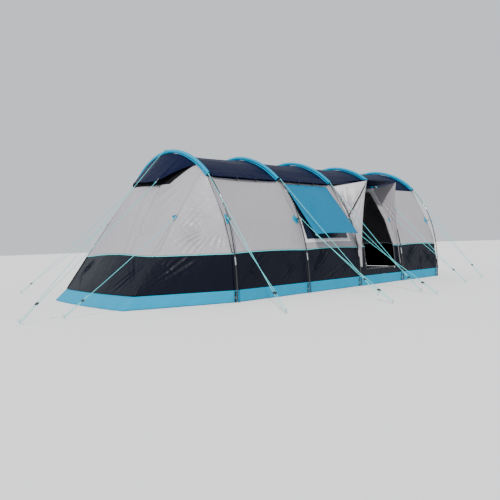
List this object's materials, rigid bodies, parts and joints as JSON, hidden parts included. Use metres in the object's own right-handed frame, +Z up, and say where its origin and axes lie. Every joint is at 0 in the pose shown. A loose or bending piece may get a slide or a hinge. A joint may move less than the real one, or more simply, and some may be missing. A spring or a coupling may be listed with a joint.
{
  "type": "tunnel tent",
  "caption": "Pole-hoop tunnel tent with sewn-in sleeves, a porch over its side door, a propped window awning, vents and pegged guy lines.",
  "frame": {"origin": "on the ground, at the middle of the box round the tent without its guy lines and pegs", "axes": "+X along the tent from the bedroom end to the front end, +Y away from the door side, +Z up"},
  "size_m": [7.6511, 5.8658, 2.1343],
  "materials": {
    "grey_cloth": "satin coated polyester",
    "navy_cloth": "satin coated polyester",
    "turquoise_cloth": "satin coated polyester",
    "charcoal_cloth": "satin coated polyester",
    "teal_cloth": "satin coated polyester",
    "inner_cloth": "breathable polyester",
    "mint_cord": "braided polyester cord",
    "black_pole": "wrapped glass fibre",
    "black_plastic": "moulded plastic",
    "steel": "zinc plated wire",
    "groundsheet": "woven polyethylene",
    "window_film": "clear film over a dark blind"
  },
  "bodies": {
    "root": {"back_side_wall": "grey_cloth", "bedroom_inner": "inner_cloth", "door_side_wall": "grey_cloth", "fly_roof": "navy_cloth", "front_end_wall": "grey_cloth", "groundsheet": "groundsheet", "guy_line_awning_front": "mint_cord", "guy_line_awning_rear": "mint_cord", "guy_line_crown": "mint_cord", "guy_line_front_1": "mint_cord", "guy_line_front_2": "mint_cord", "guy_line_front_3": "mint_cord", "guy_line_front_4": "mint_cord", "guy_line_front_5": "mint_cord", "guy_line_rear_far": "mint_cord", "guy_line_rear_near": "mint_cord", "guy_peg_awning_front": "steel", "guy_peg_awning_rear": "steel", "guy_peg_crown": "steel", "guy_peg_front_1": "steel", "guy_peg_front_2": "steel", "guy_peg_front_3": "steel", "guy_peg_front_4": "steel", "guy_peg_front_5": "steel", "guy_peg_rear_far": "steel", "guy_peg_rear_near": "steel", "mud_skirt": "turquoise_cloth", "mud_wall": "charcoal_cloth", "pole_hoop_1": "black_pole", "pole_hoop_2": "black_pole", "pole_hoop_3": "black_pole", "pole_hoop_4": "black_pole", "pole_hoop_5": "black_pole", "pole_sleeve_1": "turquoise_cloth", "pole_sleeve_2": "turquoise_cloth", "pole_sleeve_3": "turquoise_cloth", "pole_sleeve_4": "turquoise_cloth", "pole_sleeve_5": "turquoise_cloth", "porch_front_panel": "grey_cloth", "porch_rear_panel": "grey_cloth", "porch_roof": "navy_cloth", "rear_end_wall": "grey_cloth", "rear_vent_hood": "navy_cloth", "window_pane": "window_film", "window_side_wall": "grey_cloth"},
    "door": {"door_leaf": "grey_cloth"},
    "zip": {"door_zip_slider": "steel"},
    "awning": {"window_awning": "teal_cloth"},
    "vent_1": {"vent_flap_1": "navy_cloth"},
    "vent_2": {"vent_flap_2": "navy_cloth"},
    "runner_awning_front": {"guy_runner_awning_front": "black_plastic"},
    "runner_awning_rear": {"guy_runner_awning_rear": "black_plastic"},
    "runner_crown": {"guy_runner_crown": "black_plastic"},
    "runner_front_1": {"guy_runner_front_1": "black_plastic"},
    "runner_front_2": {"guy_runner_front_2": "black_plastic"},
    "runner_front_3": {"guy_runner_front_3": "black_plastic"},
    "runner_front_4": {"guy_runner_front_4": "black_plastic"},
    "runner_front_5": {"guy_runner_front_5": "black_plastic"},
    "runner_rear_far": {"guy_runner_rear_far": "black_plastic"},
    "runner_rear_near": {"guy_runner_rear_near": "black_plastic"}
  },
  "joints": [
    {"name": "door_hinge", "type": "hinge", "parent": "root", "child": "door", "pos_m": [0.87403, -1.40378, 0.32796], "axis": [-0.043, 0.3417, 0.9388], "range_deg": [-94, 0]},
    {"name": "door_zip_slide", "type": "slide", "parent": "root", "child": "zip", "axis": [-1, 0, 0], "range_m": [0, 0.7]},
    {"name": "awning_hinge", "type": "hinge", "parent": "root", "child": "awning", "pos_m": [-0.49819, -0.94442, 1.598], "axis": [-1, 0, 0], "range_deg": [-7, 5]},
    {"name": "vent_1_hinge", "type": "hinge", "parent": "root", "child": "vent_1", "pos_m": [-1.83589, -0.83664, 1.73476], "axis": [-1, 0, 0], "range_deg": [-7, 30]},
    {"name": "vent_2_hinge", "type": "hinge", "parent": "root", "child": "vent_2", "pos_m": [-0.54986, -0.83664, 1.73476], "axis": [-1, 0, 0], "range_deg": [-7, 30]},
    {"name": "runner_front_1_slide", "type": "slide", "parent": "root", "child": "runner_front_1", "axis": [-0.1488, -0.7263, -0.671], "range_m": [0, 0.15]},
    {"name": "runner_front_2_slide", "type": "slide", "parent": "root", "child": "runner_front_2", "axis": [0.1333, -0.6848, -0.7164], "range_m": [0, 0.15]},
    {"name": "runner_front_3_slide", "type": "slide", "parent": "root", "child": "runner_front_3", "axis": [-0.1326, -0.7457, -0.653], "range_m": [0, 0.15]},
    {"name": "runner_front_4_slide", "type": "slide", "parent": "root", "child": "runner_front_4", "axis": [0.0311, -0.7172, -0.6961], "range_m": [0, 0.15]},
    {"name": "runner_front_5_slide", "type": "slide", "parent": "root", "child": "runner_front_5", "axis": [-0.0451, -0.651, -0.7577], "range_m": [0, 0.15]},
    {"name": "runner_rear_far_slide", "type": "slide", "parent": "root", "child": "runner_rear_far", "axis": [-0.4081, 0.7185, -0.5632], "range_m": [0, 0.15]},
    {"name": "runner_crown_slide", "type": "slide", "parent": "root", "child": "runner_crown", "axis": [-0.7391, -0.2719, -0.6163], "range_m": [0, 0.15]},
    {"name": "runner_rear_near_slide", "type": "slide", "parent": "root", "child": "runner_rear_near", "axis": [-0.814, -0.055, -0.5782], "range_m": [0, 0.15]},
    {"name": "runner_awning_rear_slide", "type": "slide", "parent": "root", "child": "runner_awning_rear", "axis": [-0.2566, -0.8523, -0.4559], "range_m": [0, 0.15]},
    {"name": "runner_awning_front_slide", "type": "slide", "parent": "root", "child": "runner_awning_front", "axis": [-0.2099, -0.8555, -0.4733], "range_m": [0, 0.15]}
  ]
}
